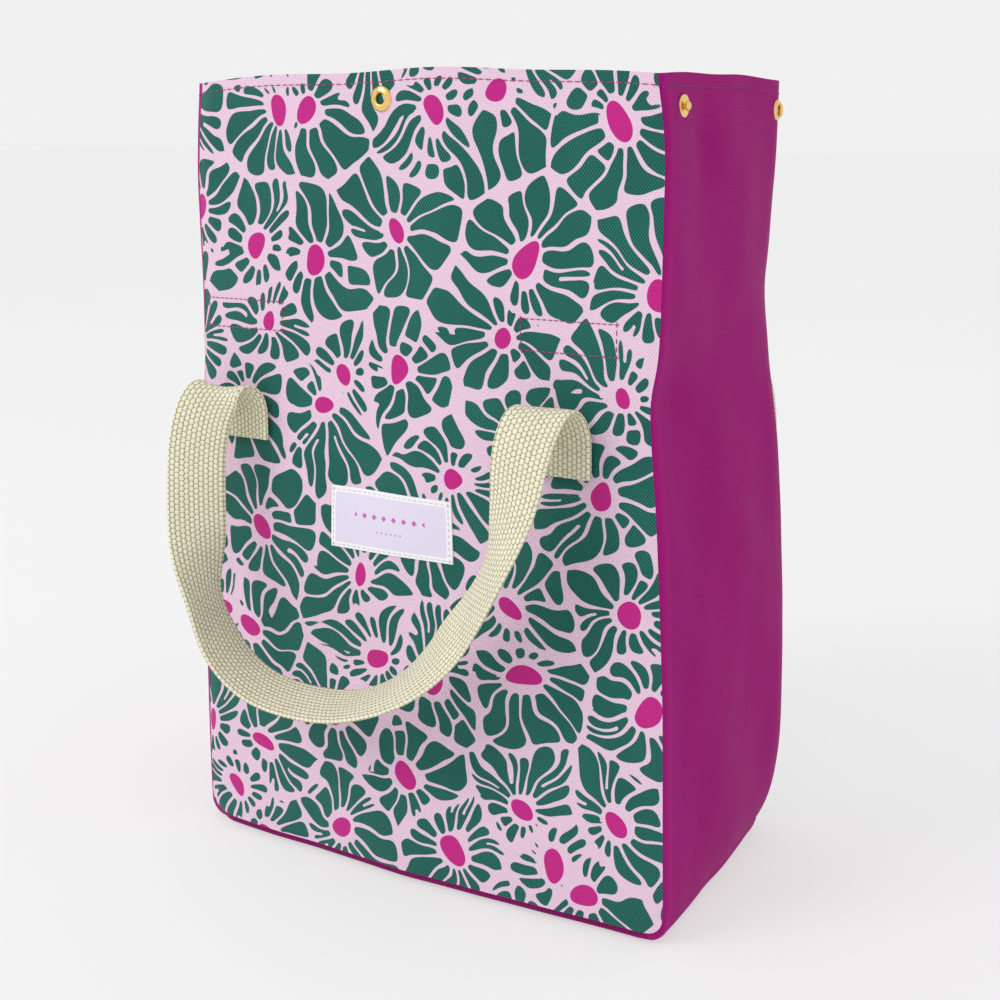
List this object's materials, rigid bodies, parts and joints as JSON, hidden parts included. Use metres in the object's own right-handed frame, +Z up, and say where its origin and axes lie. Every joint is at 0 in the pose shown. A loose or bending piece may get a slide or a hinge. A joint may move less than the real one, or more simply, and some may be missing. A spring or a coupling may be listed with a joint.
{
  "type": "foldable tote bag",
  "caption": "Tall open tote bag with a flat base, plain gussets that snap together as they tuck in, a mouth that closes as a gable, and webbing handles that swing.",
  "frame": {"origin": "centre of the base's underside", "axes": "+Z up, +X to the right across the labelled front, -Y out of the labelled front"},
  "size_m": [0.2346, 0.2136, 0.34],
  "materials": {
    "printed_canvas": null,
    "plum_canvas": "matt ribbed cotton canvas, plum",
    "cotton_webbing": "matt cream cotton webbing",
    "plum_thread": "plum sewing thread",
    "woven_label": "pale woven label with no lettering",
    "base_board": "grey stiffening board",
    "brass_snaps": "polished brass"
  },
  "bodies": {
    "bag_body": {"front_panel": "printed_canvas", "back_panel": "printed_canvas", "gusset_band": "plum_canvas", "base_board": "base_board", "front_label": "woven_label", "front_left_handle_end": "cotton_webbing", "front_left_handle_curl": "cotton_webbing", "front_right_handle_end": "cotton_webbing", "front_right_handle_curl": "cotton_webbing", "back_left_handle_end": "cotton_webbing", "back_left_handle_curl": "cotton_webbing", "back_right_handle_end": "cotton_webbing", "back_right_handle_curl": "cotton_webbing"},
    "front_top": {"front_upper_panel": "printed_canvas", "front_left_fold_stitch": "plum_thread", "front_left_fold_patch": "plum_canvas", "front_right_fold_stitch": "plum_thread", "front_right_fold_patch": "plum_canvas"},
    "front_hem": {"front_hem_strip": "printed_canvas", "front_snap_ring": "brass_snaps", "front_snap_patch": "plum_canvas", "front_snap_socket": "brass_snaps"},
    "back_top": {"back_upper_panel": "printed_canvas", "back_left_fold_stitch": "plum_thread", "back_left_fold_patch": "plum_canvas", "back_right_fold_stitch": "plum_thread", "back_right_fold_patch": "plum_canvas"},
    "back_hem": {"back_hem_strip": "printed_canvas", "back_snap_ring": "brass_snaps", "back_snap_patch": "plum_canvas", "back_snap_stud": "brass_snaps"},
    "left_gusset_top": {"left_gusset_centre": "plum_canvas"},
    "right_gusset_top": {"right_gusset_centre": "plum_canvas"},
    "front_left_wing_body": {"front_left_wing": "plum_canvas"},
    "front_left_hem_half": {"front_left_hem_wing": "plum_canvas", "front_left_side_stud": "brass_snaps", "front_left_side_cap": "brass_snaps"},
    "front_right_wing_body": {"front_right_wing": "plum_canvas"},
    "front_right_hem_half": {"front_right_hem_wing": "plum_canvas", "front_right_side_stud": "brass_snaps", "front_right_side_cap": "brass_snaps"},
    "back_left_wing_body": {"back_left_wing": "plum_canvas"},
    "back_left_hem_half": {"back_left_hem_wing": "plum_canvas", "back_left_side_socket": "brass_snaps", "back_left_side_cap": "brass_snaps"},
    "back_right_wing_body": {"back_right_wing": "plum_canvas"},
    "back_right_hem_half": {"back_right_hem_wing": "plum_canvas", "back_right_side_socket": "brass_snaps", "back_right_side_cap": "brass_snaps"},
    "front_handle": {"front_handle_loop": "cotton_webbing"},
    "back_handle": {"back_handle_loop": "cotton_webbing"}
  },
  "joints": [
    {"name": "mouth_front", "type": "hinge", "parent": "bag_body", "child": "front_top", "pos_m": [0, -0.0678, 0.222], "axis": [-1, 0, 0], "range_deg": [0, 41.5]},
    {"name": "front_hem_level", "type": "hinge", "parent": "front_top", "child": "front_hem", "pos_m": [0, -0.069, 0.318], "axis": [1, 0, 0], "range_deg": [0, 41.5]},
    {"name": "mouth_back", "type": "hinge", "parent": "bag_body", "child": "back_top", "pos_m": [0, 0.0678, 0.222], "axis": [1, 0, 0], "range_deg": [0, 41.5]},
    {"name": "back_hem_level", "type": "hinge", "parent": "back_top", "child": "back_hem", "pos_m": [0, 0.069, 0.318], "axis": [-1, 0, 0], "range_deg": [0, 41.5]},
    {"name": "left_gusset_tip", "type": "hinge", "parent": "bag_body", "child": "left_gusset_top", "pos_m": [-0.1138, 0, 0.222], "axis": [0, 1, 0], "range_deg": [0, 41.5], "deforming": ["left_gusset_centre"]},
    {"name": "right_gusset_tip", "type": "hinge", "parent": "bag_body", "child": "right_gusset_top", "pos_m": [0.1138, 0, 0.222], "axis": [0, -1, 0], "range_deg": [0, 41.5], "deforming": ["right_gusset_centre"]},
    {"name": "front_left_wing_tuck", "type": "hinge", "parent": "front_top", "child": "front_left_wing_body", "pos_m": [-0.1138, -0.0666, 0.222], "axis": [0, 0, -1], "range_deg": [0, 90], "deforming": ["front_left_wing"]},
    {"name": "front_left_hem_tuck", "type": "hinge", "parent": "front_hem", "child": "front_left_hem_half", "pos_m": [-0.1138, -0.0666, 0.318], "axis": [0, 0, -1], "range_deg": [0, 90], "deforming": ["front_left_hem_wing"]},
    {"name": "front_right_wing_tuck", "type": "hinge", "parent": "front_top", "child": "front_right_wing_body", "pos_m": [0.1138, -0.0666, 0.222], "axis": [0, 0, 1], "range_deg": [0, 90], "deforming": ["front_right_wing"]},
    {"name": "front_right_hem_tuck", "type": "hinge", "parent": "front_hem", "child": "front_right_hem_half", "pos_m": [0.1138, -0.0666, 0.318], "axis": [0, 0, 1], "range_deg": [0, 90], "deforming": ["front_right_hem_wing"]},
    {"name": "back_left_wing_tuck", "type": "hinge", "parent": "back_top", "child": "back_left_wing_body", "pos_m": [-0.1138, 0.0666, 0.222], "axis": [0, 0, 1], "range_deg": [0, 90], "deforming": ["back_left_wing"]},
    {"name": "back_left_hem_tuck", "type": "hinge", "parent": "back_hem", "child": "back_left_hem_half", "pos_m": [-0.1138, 0.0666, 0.318], "axis": [0, 0, 1], "range_deg": [0, 90], "deforming": ["back_left_hem_wing"]},
    {"name": "back_right_wing_tuck", "type": "hinge", "parent": "back_top", "child": "back_right_wing_body", "pos_m": [0.1138, 0.0666, 0.222], "axis": [0, 0, -1], "range_deg": [0, 90], "deforming": ["back_right_wing"]},
    {"name": "back_right_hem_tuck", "type": "hinge", "parent": "back_hem", "child": "back_right_hem_half", "pos_m": [0.1138, 0.0666, 0.318], "axis": [0, 0, -1], "range_deg": [0, 90], "deforming": ["back_right_hem_wing"]},
    {"name": "front_handle_swing", "type": "hinge", "parent": "bag_body", "child": "front_handle", "pos_m": [0, -0.0823, 0.205], "axis": [-1, 0, 0], "range_deg": [0, 165], "deforming": ["front_left_handle_curl", "front_right_handle_curl"]},
    {"name": "back_handle_swing", "type": "hinge", "parent": "bag_body", "child": "back_handle", "pos_m": [0, 0.0823, 0.205], "axis": [1, 0, 0], "range_deg": [0, 165], "deforming": ["back_left_handle_curl", "back_right_handle_curl"]}
  ],
  "couplings": [
    {"joint": "front_hem_level", "follows": "mouth_front", "ratio": 1},
    {"joint": "back_hem_level", "follows": "mouth_front", "ratio": 1},
    {"joint": "mouth_back", "follows": "mouth_front", "ratio": 1},
    {"joint": "left_gusset_tip", "follows": "mouth_front", "ratio": 1},
    {"joint": "right_gusset_tip", "follows": "mouth_front", "ratio": 1},
    {"joint": "front_left_wing_tuck", "follows": "mouth_front", "ratio": 2.168},
    {"joint": "front_left_hem_tuck", "follows": "mouth_front", "ratio": 2.168},
    {"joint": "front_right_wing_tuck", "follows": "mouth_front", "ratio": 2.168},
    {"joint": "front_right_hem_tuck", "follows": "mouth_front", "ratio": 2.168},
    {"joint": "back_left_wing_tuck", "follows": "mouth_front", "ratio": 2.168},
    {"joint": "back_left_hem_tuck", "follows": "mouth_front", "ratio": 2.168},
    {"joint": "back_right_wing_tuck", "follows": "mouth_front", "ratio": 2.168},
    {"joint": "back_right_hem_tuck", "follows": "mouth_front", "ratio": 2.168}
  ]
}
